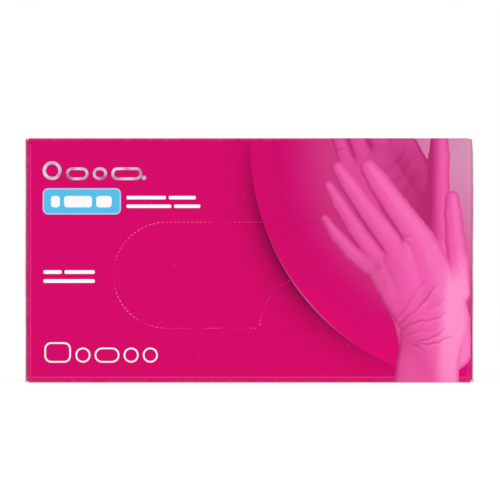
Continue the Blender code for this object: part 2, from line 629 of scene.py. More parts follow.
def toothed(points, out):
    # small teeth where the bridges of board between the cuts tear
    toothPoints = []
    for place, way, passed in walkOutline(points, 0.8 * mm):
        onBridge = passed % opening["pitch"] < opening["bridge"]
        push = out + (opening["tooth"] if onBridge else 0)
        toothPoints.append((place[0] + way[1] * push, place[1] - way[0] * push))
    return toothPoints


def openingOutline():
    straight = opening["reach"] - opening["radius"]
    points = arcPoints((straight, opening["middle"]), opening["radius"], -90, 90, 60)
    points += arcPoints((-straight, opening["middle"]), opening["radius"], 90, 270, 60)
    return points


def openingDistance(x, z):
    # how far a point or many are outside the opening
    across = np.maximum(0, np.abs(x) - (opening["reach"] - opening["radius"]))
    return np.hypot(across, z - opening["middle"]) - opening["radius"]


def tabOutline():
    return arcPoints((opening["tabCentre"], opening["base"]), opening["tabRadius"], 0, 360, 120)[:-1]


def throughCutter(outline):
    shape = prism(outline, lambda x, z: Vector((x, -2 * halfDepth, z)), Vector((0, 2 * halfDepth, 0)))
    return meshFrom(shape, "cutter")


def cutMarks(name, samples, body):
    # pale ends of the cuts, seen as short dashes along the tear line
    shape = bmesh.new()
    for place, way in samples:
        turn = Matrix.Rotation(-math.atan2(way[1], way[0]), 4, "Y")
        place3 = Vector((place[0], skinFront + wave(*place) - 0.006 * mm, place[1]))
        size = Matrix.Diagonal((opening["dashLength"], 0.03 * mm, opening["dashWidth"], 1))
        made = bmesh.ops.create_cube(shape, size=1, matrix=Matrix.Translation(place3) @ turn @ size)
        corners = [edge for edge in shape.edges if edge.verts[0] in made["verts"]
                   and abs((edge.verts[0].co - edge.verts[1].co).y) > 0.02 * mm]
        bmesh.ops.bevel(
            shape, geom=corners, offset=0.12 * mm, segments=2, profile=0.5, affect="EDGES", material=-1
        )
    addPiece(name, meshFrom(shape, name), [dashInk], body)


def dashMaterial():
    material, tree, shader = newMaterial("cutDashes", 0.6, 0.2)
    patch = noiseAt(tree, placeOn(tree), 70.0, 1.0)
    paint(tree, shader, rampNode(tree, patch, [(0.46, linear(214, 16, 110)), (0.72, linear(240, 116, 170))]))
    return material


dashInk = dashMaterial()


sleeve = {
    "grid": 6 * mm,
    "endStrip": 1.5 * mm,
    "topEnd": 107.85 * mm,
    "bottomEnd": 107.85 * mm,
    "frontEnd": 108.65 * mm,
    "backEnd": 109.42 * mm,
}


def sleeveProfile():
    # outer skin in the (y, z) plane, anticlockwise from the front bottom
    radius = board["edgeRadius"]
    spots = []
    corners = (
        (skinFront, skinBottom, 180), (skinBack, skinBottom, 270),
        (skinBack, skinTop, 0), (skinFront, skinTop, 90),
    )
    for y, z, start in corners:
        centre = (y + radius if y == skinFront else y - radius, z + radius if z == skinBottom else z - radius)
        spots.append(arcPoints(centre, radius, start, start + 90, 5))
    profile = []
    for index, corner in enumerate(spots):
        profile += corner
        nextStart = spots[(index + 1) % 4][0]
        end = corner[-1]
        count = max(1, round(math.dist(end, nextStart) / sleeve["grid"]))
        for step in range(1, count):
            share = step / count
            profile.append(tuple(end[part] + (nextStart[part] - end[part]) * share for part in (0, 1)))
    return profile


# each wall's outer level and the way to the inside
walls = {
    "front": (skinFront, Vector((0, 1, 0))),
    "back": (skinBack, Vector((0, -1, 0))),
    "top": (skinTop, Vector((0, 0, -1))),
    "bottom": (skinBottom, Vector((0, 0, 1))),
}


def rollEnd(shape, side, wall):
    # carries one wall's end outwards and rolls it into its crease
    level, inward = walls[wall]
    straightEnd = sleeve[wall + "End"]
    axis = 1 if wall in ("front", "back") else 2
    endX = side * sleeve["topEnd"]

    def onWall(vert):
        return abs(vert.co.x - endX) < 1e-6 and abs(vert.co[axis] - level) < 1e-6

    edges = [edge for edge in shape.edges if onWall(edge.verts[0]) and onWall(edge.verts[1])]
    steps = []
    if straightEnd > sleeve["topEnd"]:
        steps.append(Vector((side * (straightEnd - sleeve["topEnd"]), 0, 0)))
    radius = board["rollRadius"]
    before = Vector((0, 0, 0))
    for count in range(1, 5):
        angle = math.radians(22.5 * count)
        spot = Vector((side * radius * math.sin(angle), 0, 0)) + inward * radius * (1 - math.cos(angle))
        steps.append(spot - before)
        before = spot
    for step in steps:
        edges = pullEdges(shape, edges, step)


def crushCorner(place):
    # the upper right corner at the front is knocked round
    knock = 3.4 * mm
    fade = min(1, max(0, (place.y + halfDepth - 2 * mm) / (12 * mm)))
    centre = Vector((halfWidth - knock, 0, cartonHeight - knock))
    out = Vector((place.x - centre.x, 0, place.z - centre.z))
    if out.x <= 0 or out.z <= 0 or out.length <= knock - board["inset"]:
        return place
    target = centre + out.normalized() * (knock - board["inset"])
    kept = Vector((target.x, place.y, target.z))
    return kept.lerp(place, fade)


def isOutside(face):
    # true for the faces of the outer, printed skin
    spot, normal = face.center, face.normal
    near = 0.06 * mm + board["wave"]
    for level, inward in walls.values():
        if abs(spot.dot(inward) - level * sum(inward)) < near and normal.dot(inward) < -0.5:
            return True
    up = spot.z - cartonHeight / 2
    rim = 1.3 * mm
    onEdge = abs(spot.y) > halfDepth - rim or abs(up) > cartonHeight / 2 - rim
    flat = Vector((0, math.copysign(1, spot.y), math.copysign(1, up)))
    rolled = abs(spot.x) > sleeve["topEnd"] and normal.x * math.copysign(1, spot.x) > 0.3
    return onEdge and (normal.dot(flat) > 0.9 or rolled)


def makeSleeve():
    shape = bmesh.new()
    profile = sleeveProfile()
    end = sleeve["topEnd"]
    ring = [shape.verts.new((-end, y, z)) for y, z in profile]
    edges = [shape.edges.new((ring[i], ring[(i + 1) % len(ring)])) for i in range(len(ring))]
    gridEnd = end - sleeve["endStrip"]
    count = round(2 * gridEnd / sleeve["grid"])
    stations = [-gridEnd + 2 * gridEnd * step / count for step in range(count + 1)] + [end]
    before = -end
    for station in stations:
        edges = pullEdges(shape, edges, (station - before, 0, 0))
        before = station
    for side in (-1, 1):
        for wall in walls:
            rollEnd(shape, side, wall)
    for vert in shape.verts:
        if vert.co.y < skinFront + 0.01 * mm:
            vert.co.y += wave(vert.co.x, vert.co.z)
        vert.co = crushCorner(vert.co)
    skin = meshFrom(shape, "sleeveSkin")
    if skin.polygons[0].normal.dot(skin.polygons[0].center - Vector((0, 0, cartonHeight / 2))) < 0:
        skin.flip_normals()
    cutter = throughCutter(toothed(openingOutline(), opening["slit"]))
    mesh = cutWith(thickened(skin, board["thickness"]), cutter, "DIFFERENCE")
    mesh.name = "sleeveBoard"
    mesh.materials.clear()
    setPrintMap(mesh, sleevePrint)
    piece = addPiece("sleeveBoard", mesh, [inkBoard, innerBoard, cutCore], "carton")
    rim = 5 * mm
    for face in mesh.polygons:
        across = abs(face.normal.x) > 0.5
        inWall = face.center.y < -halfDepth + 1 * mm and skinBottom + rim < face.center.z < skinTop - rim
        inHole = inWall and abs(face.normal.y) < 0.5
        face.material_index = 0 if isOutside(face) else 2 if across or inHole else 1
    mesh.shade_smooth()
    mesh.set_sharp_from_angle(angle=math.radians(28))
    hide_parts("front_panel", "back_panel", "top_panel", "bottom_panel")


print("sleeve")
makeSleeve()


def boardPlate(name, mesh, printAt, node, outward, outside=inkBoard):
    # finishes a flat board: print outside, grey back inside, core on its cut edges
    setPrintMap(mesh, printAt)
    mesh.materials.clear()
    piece = addPiece(name, mesh, [outside, innerBoard, cutCore], node)
    for face in mesh.polygons:
        lean = face.normal.dot(outward)
        face.material_index = 0 if lean > 0.7 else 1 if lean < -0.7 else 2
    mesh.shade_smooth()
    mesh.set_sharp_from_angle(angle=math.radians(28))
    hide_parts(node)


def flatFront(outline, thickness=board["thickness"]):
    shape = prism(outline, lambda x, z: Vector((x, skinFront, z)), Vector((0, thickness, 0)))
    sliceAt(shape, 0, [cut * sleeve["grid"] for cut in range(-12, 13)])
    sliceAt(shape, 2, [cut * sleeve["grid"] for cut in range(4, 15)])
    for vert in shape.verts:
        vert.co.y += wave(vert.co.x, vert.co.z)
    return meshFrom(shape, "plate")


print("tear-out panel and thumb tab")
outward = Vector((0, -1, 0))
panelMesh = cutWith(
    flatFront(toothed(openingOutline(), -opening["slit"])),
    throughCutter(toothed(tabOutline(), opening["slit"])), "DIFFERENCE",
)
boardPlate("tearOutPanel", panelMesh, frontPrint, "dispensing_panel", outward)
tabMesh = cutWith(
    flatFront(toothed(tabOutline(), -opening["slit"])),
    throughCutter(toothed(openingOutline(), -opening["foldSlit"])), "INTERSECT",
)
boardPlate("thumbTabBoard", tabMesh, frontPrint, "thumb_tab", outward)

# the outer ply bridges the tab's fold
bridge = cutWith(
    flatFront(toothed(openingOutline(), -opening["slit"]), opening["ply"]),
    throughCutter(toothed(openingOutline(), opening["slit"] - opening["foldSlit"])), "DIFFERENCE",
)
bridge = cutWith(bridge, throughCutter(toothed(tabOutline(), -opening["slit"])), "INTERSECT")
setPrintMap(bridge, frontPrint)
bridge.materials.clear()
bridgePiece = addPiece("tabFoldPly", bridge, [inkBoard], "carton")


flaps = {
    "outerFace": 109.97 * mm,
    "outerThickness": 0.58 * mm,
    "innerFace": 109.2 * mm,
    "dustFace": 108.4 * mm,
    "root": 0.62 * mm,  # where the crease's roll ends and the flat of the flap starts
    "cornerRadius": 5 * mm,
    "bow": 0.10 * mm,
    "gridAcross": 9 * mm,
    "gridUp": 9.3 * mm,
}


def makeFlap(name, node, side, face, outline, printAt, outside, thickness=board["thickness"]):
    # the name of a flap's node is its body's name too
    shape = prism(
        outline,
        lambda y, z: Vector((side * (face - thickness), y, z)),
        Vector((side * thickness, 0, 0)),
    )
    sliceAt(shape, 1, [cut * flaps["gridAcross"] for cut in range(-3, 4)])
    sliceAt(shape, 2, [cut * flaps["gridUp"] for cut in range(1, 13)])
    # a little hollow in the flat, so that it catches the light unevenly
    for vert in shape.verts:
        dip = abs(noise.noise(Vector((vert.co.y / 0.03, vert.co.z / 0.04, face * 99 + side))))
        vert.co.x -= side * dip * flaps["bow"]
        vert.co = crushCorner(vert.co)
    mesh = meshFrom(shape, name)
    boardPlate(name, mesh, printAt, node, Vector((side, 0, 0)), outside)


def endPrint(side):
    return lambda place, normal: (side * (halfWidth + place.y + halfDepth), place.z)


def wavyCut(points, amount):
    # a die-cut edge is never quite straight
    return [
        (
            a + amount * noise.noise(Vector((a * 90, b * 90, 1))),
            b + amount * noise.noise(Vector((b * 90, a * 90, 2))),
        )
        for a, b in points
    ]


def flapOutlines():
    low, high = skinBottom + 0.75 * mm, skinTop - 0.75 * mm
    front, back = skinFront + 0.1 * mm, skinBack - flaps["root"]
    outer = roundedOutline(front, back, skinBottom + 0.1 * mm, skinTop - 0.1 * mm, 0.9 * mm, 3)
    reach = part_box("right_inner_flap")[1][1]
    radius = flaps["cornerRadius"]
    start = skinFront + flaps["root"]
    inner = [(start, low), (reach - radius, low)]
    inner += arcPoints((reach - radius, low + radius), radius, -80, 0, 7)
    inner += arcPoints((reach - radius, high - radius), radius, 0, 80, 7)
    inner += [(reach - radius, high), (start, high)]
    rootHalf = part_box("right_top_dust_flap")[1][1] - 0.3 * mm
    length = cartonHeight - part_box("right_top_dust_flap")[0][2]
    tipHalf = rootHalf - 0.62 * length
    top = cartonHeight - board["inset"] - flaps["root"]
    tip = cartonHeight - length
    dust = [(-rootHalf, top), (-rootHalf, top - 1 * mm), (-tipHalf - 1.5 * mm, tip + 1.4 * mm)]
    dust += [(-tipHalf, tip + 0.2 * mm), (tipHalf, tip + 0.2 * mm)]
    dust += [(tipHalf + 1.5 * mm, tip + 1.4 * mm), (rootHalf, top - 1 * mm), (rootHalf, top)]
    return outer, inner, dust


creases = {
    "depth": 0.05 * mm,  # under the printed skin
    "thickness": 0.2 * mm,
    "lap": 0.3 * mm,  # how far it runs into the wall and into the flap
    "endGap": 1.1 * mm,
    "steps": 8,
}


def makeCrease(name, side, wall, half, middle):
    # the board of a crease, which turns between the sleeve and its flap
    level, inward = walls[wall]
    out = Vector((side, 0, 0))
    upright = wall in ("front", "back")
    along = Vector((0, 0, 1)) if upright else Vector((0, 1, 0))
    corner = out * sleeve[wall + "End"] + (Vector((0, level, 0)) if upright else Vector((0, 0, level)))
    radius = board["rollRadius"]
    reach = radius - creases["depth"]
    centre = corner + inward * radius
    line = [corner - out * creases["lap"] + inward * creases["depth"]]
    for count in range(creases["steps"] + 1):
        angle = math.radians(90 * count / creases["steps"])
        line.append(centre + (out * math.sin(angle) - inward * math.cos(angle)) * reach)
    line.append(corner + out * reach + inward * (flaps["root"] + creases["lap"]))
    shape = bmesh.new()
    verts = [shape.verts.new(spot + along * (middle - half)) for spot in line]
    edges = [shape.edges.new(pair) for pair in zip(verts, verts[1:])]
    for step in range(creases["steps"]):
        edges = pullEdges(shape, edges, along * half * 2 / creases["steps"])
    for vert in shape.verts:
        vert.co = crushCorner(vert.co)
    skin = meshFrom(shape, "creaseShade")
    sample = skin.polygons[len(skin.polygons) // 2]
    if sample.normal.dot(sample.center - centre) < 0:
        skin.flip_normals()
    mesh = thickened(skin, creases["thickness"])
    mesh.name = name
    mesh.materials.clear()
    setPrintMap(mesh, sleevePrint)
    piece = addPiece(name, mesh, [inkBoard, innerBoard])
    for face in mesh.polygons:
        fromCentre = face.center - centre
        fromCentre -= along * fromCentre.dot(along)
        face.material_index = 0 if face.normal.dot(fromCentre) > 0 else 1
    mesh.shade_smooth()
    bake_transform(piece)


print("end flaps")
outerLine, innerLine, dustLine = flapOutlines()
sideHalf = (skinTop - skinBottom) / 2 - creases["endGap"]
topHalf = dustLine[-1][0] - 0.1 * mm
lowDustLine = [(y, cartonHeight - z) for y, z in dustLine]
for side, word in ((-1, "left"), (1, "right")):
    outerBody, innerBody = word + "_outer_flap", word + "_inner_flap"
    topBody, bottomBody = word + "_top_dust_flap", word + "_bottom_dust_flap"
    makeFlap(
        word + "OuterFlap", outerBody, side, flaps["outerFace"], outerLine, endPrint(side), inkBoard,
        flaps["outerThickness"],
    )
    makeFlap(
        word + "InnerFlap", innerBody, side, flaps["innerFace"], wavyCut(innerLine, 0.1 * mm),
        lambda place, normal: (place.z, place.y + halfDepth), coveredBoard,
    )
    makeFlap(
        word + "TopDustFlap", topBody, side, flaps["dustFace"], dustLine,
        lambda place, normal: (place.y, cartonHeight - place.z), coveredBoard,
    )
    makeFlap(
        word + "BottomDustFlap", bottomBody, side, flaps["dustFace"], lowDustLine,
        lambda place, normal: (place.y, place.z), coveredBoard,
    )
    makeCrease(word + "OuterCrease", side, "back", sideHalf, cartonHeight / 2)
    makeCrease(word + "InnerCrease", side, "front", sideHalf, cartonHeight / 2)
    makeCrease(word + "TopDustCrease", side, "top", topHalf, 0)
    makeCrease(word + "BottomDustCrease", side, "bottom", topHalf, 0)

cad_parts["glue_flap"].data.materials.clear()
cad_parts["glue_flap"].data.materials.append(innerBoard)


def outsideField(place):
    return math.dist(place, (disc["centre"][0] / 10, disc["centre"][1] / 10)) > disc["radius"] / 10 + 1 * mm


def dashSamples(points, keep):
    # dashes centred a little inside an outline, where keep allows them
    inside = opening["dashInside"]
    samples = [
        ((place[0] - way[1] * inside, place[1] + way[0] * inside), way)
        for place, way, passed in walkOutline(points, opening["dashPitch"])
    ]
    return [sample for sample in samples if keep(sample[0])]


def inTab(place, margin):
    return math.dist(place, (opening["tabCentre"], opening["base"])) < opening["tabRadius"] + margin


print("tear line")
panelDashes = dashSamples(openingOutline(), lambda place: outsideField(place) and not inTab(place, 1 * mm))
cutMarks("panelCutDashes", panelDashes, "dispensing_panel")
tabDashes = dashSamples(
    tabOutline(), lambda place: outsideField(place) and openingDistance(*place) < -1 * mm
)
cutMarks("tabCutDashes", tabDashes, "thumb_tab")


marks = {
    "lift": 0.03 * mm,
    "depth": 0.08 * mm,
    "grid": 3 * mm,
    "left": -101.2 * mm,
}


def markPiece(name, outlines, material, lift=marks["lift"]):
    # flat ink shapes with a hair of thickness: each entry is an outline and, for a hollow one, its stroke
    shape = bmesh.new()
    for outline, stroke in outlines:
        face = shape.faces.new([shape.verts.new((x, skinFront, z)) for x, z in outline])
        face.normal_update()
        if stroke:
            bmesh.ops.inset_individual(shape, faces=[face], thickness=stroke, use_even_offset=True)
            bmesh.ops.delete(shape, geom=[face], context="FACES_ONLY")
    gridCuts(shape, marks["grid"])
    for vert in shape.verts:
        vert.co.y = skinFront + wave(vert.co.x, vert.co.z) - lift
    pushFaces(shape, shape.faces[:], (0, marks["depth"], 0))
    piece = addPiece(name, meshFrom(shape, name), [material], "carton")


def barRow(left, low, high, widths, gap, rounding, stroke=None):
    row = []
    for width in widths:
        row.append((roundedOutline(left, left + width, low, high, rounding, 4), stroke))
        left += width + gap
    return row


def greekedLine(left, low, high, widths):
    # a line of small type, with one plain bar in place of every word
    return barRow(left, low, high, widths, 1.3 * mm, 0.7 * mm)


def tagOutline(inset):
    return roundedOutline(
        marks["left"] + inset, marks["left"] + 38.3 * mm - inset, 82.5 * mm + inset, 95.4 * mm - inset,
        2.7 * mm - inset, 6,
    )


print("printed marks")
left = marks["left"]
emblem = [(roundedOutline(left, left + 9.2 * mm, 99.4 * mm, 108.6 * mm, 4.59 * mm, 12), 1.5 * mm)]
emblem += barRow(
    left + 11.4 * mm, 99.4 * mm, 105.6 * mm, [11 * mm, 7 * mm, 15 * mm], 2.1 * mm, 3.0 * mm, 1.3 * mm
)
stopAt = left + 48.4 * mm
emblem += [(roundedOutline(stopAt, stopAt + 2.2 * mm, 99.4 * mm, 101.6 * mm, 1.09 * mm, 5), None)]
markPiece("foilEmblem", emblem, silverFoil)
markPiece("tagRim", [(tagOutline(0), 0.62 * mm)], blueRim)
markPiece("tagField", [(tagOutline(0.55 * mm), None)], blueInk, lift=0.02 * mm)
tagWord = barRow(
    left + 4.0 * mm, 86.0 * mm, 91.6 * mm, [4.4 * mm, 13.6 * mm, 7.6 * mm], 2.1 * mm, 1.5 * mm
)
markPiece("tagBars", tagWord, whiteInk, lift=0.05 * mm)
smallType = greekedLine(-60.2 * mm, 89.9 * mm, 91.6 * mm, [19.4 * mm, 13.3 * mm])
smallType += greekedLine(-60.2 * mm, 85.7 * mm, 87.4 * mm, [22.0 * mm, 12.9 * mm])
markPiece("smallTypeUpper", smallType, whiteInk)
lowType = greekedLine(-100.9 * mm, 53.4 * mm, 55.2 * mm, [9.0 * mm, 14.9 * mm])
lowType += greekedLine(-100.9 * mm, 49.0 * mm, 50.8 * mm, [25.2 * mm])
markPiece("smallTypeLower", lowType, whiteInk)
bigWord = barRow(-100.4 * mm, 9.9 * mm, 19.9 * mm, [13.0 * mm], 0, 3.2 * mm, 0.8 * mm)
bigWord += barRow(
    -85.2 * mm, 9.9 * mm, 17.3 * mm, [7.4 * mm, 12.2 * mm, 7.4 * mm, 7.4 * mm], 2.0 * mm, 3.6 * mm, 0.78 * mm
)
markPiece("thinWord", bigWord, whiteInk)


# each limb is a tapered stroke: where it starts and ends, and its half width there, in millimetres
hands = {
    "cell": 0.5,
    "lift": 0.034 * mm,
    "sheet": 0.03 * mm,
    "rear": {
        "blend": 1.3,
        "palmBlend": 5.0,
        "fingers": [
            [((41.9, 126.2), 3.0), ((44.3, 118.4), 3.6), ((48.4, 107.0), 4.3)],
            [((45.2, 141.6), 3.2), ((49.0, 130.0), 4.1), ((55.2, 112.5), 4.7)],
            [((49.0, 152.6), 3.4), ((55.2, 138.6), 4.4), ((63.6, 118.6), 5.0)],
            [((58.6, 152.5), 3.5), ((66.2, 139.6), 4.6), ((74.6, 121.6), 5.4)],
            [
                ((94.4, 134.8), 2.4), ((93.4, 126.0), 3.6), ((93.0, 110.5), 5.2),
                ((91.6, 96.0), 6.4), ((90.5, 76.0), 9.0),
            ],
        ],
        "palm": [
            [((52.5, 105.0), 6.0), ((61.0, 88.0), 8.0)],
            [((63.0, 108.0), 8.0), ((76.0, 84.0), 13.0), ((88.5, 62.0), 13.0)],
            [((50.0, 103.0), 4.6), ((60.0, 108.6), 6.2), ((71.0, 114.4), 8.0)],
            [((76.5, 113.5), 7.4), ((86.0, 90.0), 10.0)],
            [((88.5, 62.0), 13.0), ((98.0, 30.0), 10.2), ((99.3, 15.5), 9.6)],
        ],
        "creases": [
            ((66.0, 136.6), (70.6, 133.0), 0.45, 0.30), ((54.6, 132.6), (59.8, 130.4), 0.45, 0.30),
            ((48.2, 123.6), (53.2, 122.6), 0.45, 0.36), ((41.8, 113.4), (46.6, 113.8), 0.45, 0.28),
            ((66.8, 103.0), (78.6, 116.0), 1.6, 0.08), ((70.5, 98.0), (82.0, 112.5), 1.8, 0.09),
            ((75.5, 93.0), (84.0, 105.5), 2.2, 0.08), ((72.0, 120.5), (76.0, 123.5), 0.6, 0.16),
        ],
        "tones": ((178, 10, 102), (230, 68, 156), (252, 118, 190)),
    },
    "front": {
        "blend": 0.9,
        "palmBlend": 5.0,
        "fingers": [
            [((36.9, 80.3), 2.2), ((42.6, 72.2), 3.4), ((50.0, 64.2), 4.2), ((58.6, 57.6), 5.0)],
            [((38.9, 96.6), 2.6), ((44.2, 87.6), 3.7), ((52.0, 75.4), 4.3), ((61.5, 62.0), 5.4)],
            [((43.3, 105.2), 3.0), ((48.6, 97.4), 4.2), ((57.6, 84.6), 4.9), ((69.0, 69.5), 6.0)],
            [((58.3, 105.2), 4.0), ((63.6, 97.6), 5.2), ((72.0, 85.8), 5.9), ((83.5, 69.5), 7.4)],
            [
                ((99.5, 90.6), 3.4), ((99.9, 83.0), 4.2), ((101.2, 69.0), 4.8),
                ((102.6, 58.0), 5.2), ((101.0, 44.5), 7.2),
            ],
        ],
        "palm": [
            [((62.4, 57.4), 6.2), ((72.2, 43.4), 7.9), ((81.8, 29.5), 8.2)],
            [((73.0, 62.0), 9.0), ((85.0, 38.0), 13.5)],
            [((86.0, 64.0), 8.5), ((92.0, 42.0), 14.0), ((90.0, 28.0), 16.0)],
            [((90.0, 30.0), 15.9), ((88.6, 17.0), 14.9), ((87.4, 8.0), 15.2), ((86.0, -10.0), 17.0)],
        ],
        "creases": [
            ((80.7, 34.0), (93.0, 49.6), 0.55, 0.40), ((73.9, 29.5), (80.7, 34.0), 0.5, 0.28),
            ((74.8, 26.6), (97.4, 34.0), 0.55, 0.36), ((81.2, 18.8), (96.4, 26.6), 0.5, 0.40),
            ((81.2, 17.8), (98.9, 22.2), 0.55, 0.42), ((77.6, 19.6), (86.6, 15.3), 0.6, 0.36),
            ((71.4, 31.0), (87.9, 51.4), 0.8, 0.16), ((76.5, 22.8), (90.0, 27.0), 0.6, 0.16),
            ((86.0, 36.0), (96.0, 41.5), 0.8, 0.14), ((100.5, 55.0), (104.5, 50.5), 0.5, 0.26),
            ((98.6, 60.0), (103.0, 55.0), 0.5, 0.22), ((64.4, 70.2), (68.2, 66.4), 0.6, 0.20),
            ((74.2, 73.2), (80.2, 71.0), 0.8, 0.22), ((87.6, 40.0), (90.4, 62.0), 2.4, 0.05),
        ],
        "tones": ((186, 12, 102), (240, 86, 168), (253, 140, 200)),
    },
}


def strokeDistance(x, z, stroke):
    # how far each point is outside a tapered stroke
    (startPlace, startHalf), (endPlace, endHalf) = stroke
    alongX, alongZ = endPlace[0] - startPlace[0], endPlace[1] - startPlace[1]
    share = ((x - startPlace[0]) * alongX + (z - startPlace[1]) * alongZ) / (alongX ** 2 + alongZ ** 2)
    share = np.clip(share, 0, 1)
    gap = np.hypot(x - startPlace[0] - share * alongX, z - startPlace[1] - share * alongZ)
    return gap - (startHalf + (endHalf - startHalf) * share)


def limbDistance(x, z, limb):
    found = strokeDistance(x, z, limb[0:2])
    for start in range(1, len(limb) - 1):
        found = softMin(found, strokeDistance(x, z, limb[start:start + 2]), 0.8)
    return found


def softMin(first, second, reach):
    blend = np.clip(0.5 + 0.5 * (second - first) / reach, 0, 1)
    return second + (first - second) * blend - reach * blend * (1 - blend)


def handDistance(x, z, hand):
    palm = limbDistance(x, z, hand["palm"][0])
    for limb in hand["palm"][1:]:
        palm = softMin(palm, limbDistance(x, z, limb), hand["palmBlend"])
    whole = palm
    for finger in hand["fingers"]:
        whole = softMin(whole, limbDistance(x, z, finger), hand["blend"])
    if hand is hands["front"]:
        # the cuff ends in a shallow curve
        whole = np.maximum(whole, (-9.2 + 0.0155 * (x - 86.5) ** 2) - z)
    return whole


def handHeight(x, z, hand):
    # the hand puffed up from its outline, fingers rounder than the palm
    height = np.zeros_like(x)
    for limb, crown in [(limb, 1.0) for limb in hand["fingers"]] + [(limb, 0.62) for limb in hand["palm"]]:
        half = max(part[1] for part in limb)
        inside = np.clip(-limbDistance(x, z, limb) / half, 0, 1)
        dome = half * crown * np.sqrt(np.maximum(0, 1 - (1 - inside) ** 2))
        height = -softMin(-height, -dome, 1.2)
    return height


def slopeOf(field, x, z, step):
    # how steeply a field climbs across and up
    across = (field(x + step, z) - field(x - step, z)) / (2 * step)
    up = (field(x, z + step) - field(x, z - step)) / (2 * step)
    return across, up


def rise(distance, reach):
    # a soft step from 0 to 1 where the distance passes nought
    return 1 / (1 + np.exp(-np.clip(distance / reach, -40, 40)))


def creaseDistance(x, z, start, end):
    # distance to a slightly bent crease, and how far along it each point lies
    bendX = x + 0.55 * np.sin(0.42 * z + 1.1)
    bendZ = z + 0.75 * np.sin(0.36 * x + 0.4) + 0.25 * np.sin(1.1 * x)
    alongX, alongZ = end[0] - start[0], end[1] - start[1]
    share = ((bendX - start[0]) * alongX + (bendZ - start[1]) * alongZ) / (alongX ** 2 + alongZ ** 2)
    share = np.clip(share, 0, 1)
    return np.hypot(bendX - start[0] - share * alongX, bendZ - start[1] - share * alongZ), share


def shadeHand(x, z, hand):
    # a drawn light from the upper right, darker where surfaces meet, and the creases over it
    slopeX, slopeZ = slopeOf(lambda atX, atZ: handHeight(atX, atZ, hand), x, z, 0.35)
    lean = np.sqrt(1 + slopeX ** 2 + slopeZ ** 2)
    lit = (-slopeX * 0.42 - slopeZ * 0.28 + 0.86) / lean
    deep = np.clip(-handDistance(x, z, hand) / 2.2, 0, 1)
    deep = deep * deep * (3 - 2 * deep)
    tone = 0.31 + 0.22 * deep + 0.32 * (lit - 0.55)
    # fingers darken where the next one lies against them
    reaches = np.sort([limbDistance(x, z, finger) for finger in hand["fingers"][:4]], axis=0)
    tone -= 0.30 * np.exp(-(np.maximum(reaches[1], 0) / 1.3)) * np.exp(-(np.maximum(-reaches[0], 0) / 2.6))
    if hand is hands["front"]:
        tone += 0.33 * rise(x - 0.11 * z - 91.2, 1.1) * np.clip((66 - z) / 20, 0, 1)
        tone += 0.08 * rise(x + 0.5 * z - 112, 3.0)
        tone -= 0.10 * rise(64 - x - 0.6 * (z - 60), 3.5)
        tone -= 0.08 * np.exp(-(((x - 66) / 9) ** 2 + ((z - 54) / 9) ** 2))
        tone -= 0.12 * np.exp(-(((x - 76 + (z - 25) * 0.6) / 5) ** 2)) * np.clip((50 - z) / 30, 0, 1)
    else:
        tone -= 0.07
        tone -= 0.44 * rise(x - 64 + 0.2 * (z - 100), 4.5) * rise(91.6 - x, 0.9) * rise(120 - z, 4.5)
        tone -= 0.14 * np.exp(-(((x - 84) / 8) ** 2 + ((z - 84) / 14) ** 2))
        tone += 0.22 * rise(x - 93.2, 1.4) * rise(z - 50, 5.0)
        tone += 0.48 * rise(46 - z, 3.0)
        tone += 0.16 * np.exp(-(((x - 0.62 * (150 - z) - 64.5) / 2.2) ** 2)) * np.clip((z - 116) / 8, 0, 1)
    for start, end, half, depth in hand["creases"]:
        line, share = creaseDistance(x, z, start, end)
        beside, share = creaseDistance(x - half, z + half * 1.7, start, end)
        fade = 0.85 * depth * np.sqrt(np.clip(4 * share * (1 - share), 0, 1))
        tone -= fade * np.exp(-(line / half) ** 2)
        tone += fade * 0.42 * np.exp(-(beside / (half * 1.3)) ** 2)
    tone = np.clip(tone, 0, 1)[:, None]
    dark, base, pale = (np.array(linear(*shade)[:3]) for shade in hand["tones"])
    low = dark + (base - dark) * np.clip(tone / 0.6, 0, 1)
    return low + (pale - low) * np.clip((tone - 0.6) / 0.4, 0, 1) ** 1.2


def snapTo(spots, distance, within):
    # draws the points near an outline onto it
    x, z = spots[:, 0], spots[:, 1]
    gap = distance(x, z)
    wayX, wayZ = slopeOf(distance, x, z, 0.02)
    size = np.maximum(wayX ** 2 + wayZ ** 2, 0.3)
    near = np.abs(gap) < within
    spots[near, 0] -= (gap * wayX / size)[near]
    spots[near, 1] -= (gap * wayZ / size)[near]


def openingEdge(x, z):
    return openingDistance(x * mm, z * mm) / mm


def frontHand(x, z):
    return handDistance(x, z, hands["front"])


def bothHands(x, z):
    return np.minimum(handDistance(x, z, hands["rear"]), frontHand(x, z))


def ontoSleeve(x, up):
    # folds a flat place of the print over the top and bottom edges of the sleeve
    radius = board["edgeRadius"]
    quarter = math.pi / 2 * radius
    lift = hands["lift"]
    for start, way in ((skinTop - radius, 1), (skinBottom + radius, -1)):
        past = (up - start) * way
        if past > 0:
            turn = min(past, quarter) / radius
            y = skinFront + radius - (radius + lift) * math.cos(turn) + max(0, past - quarter)
            return Vector((x, y, start + way * (radius + lift) * math.sin(turn)))
    return Vector((x, skinFront + wave(x, up) - lift, up))


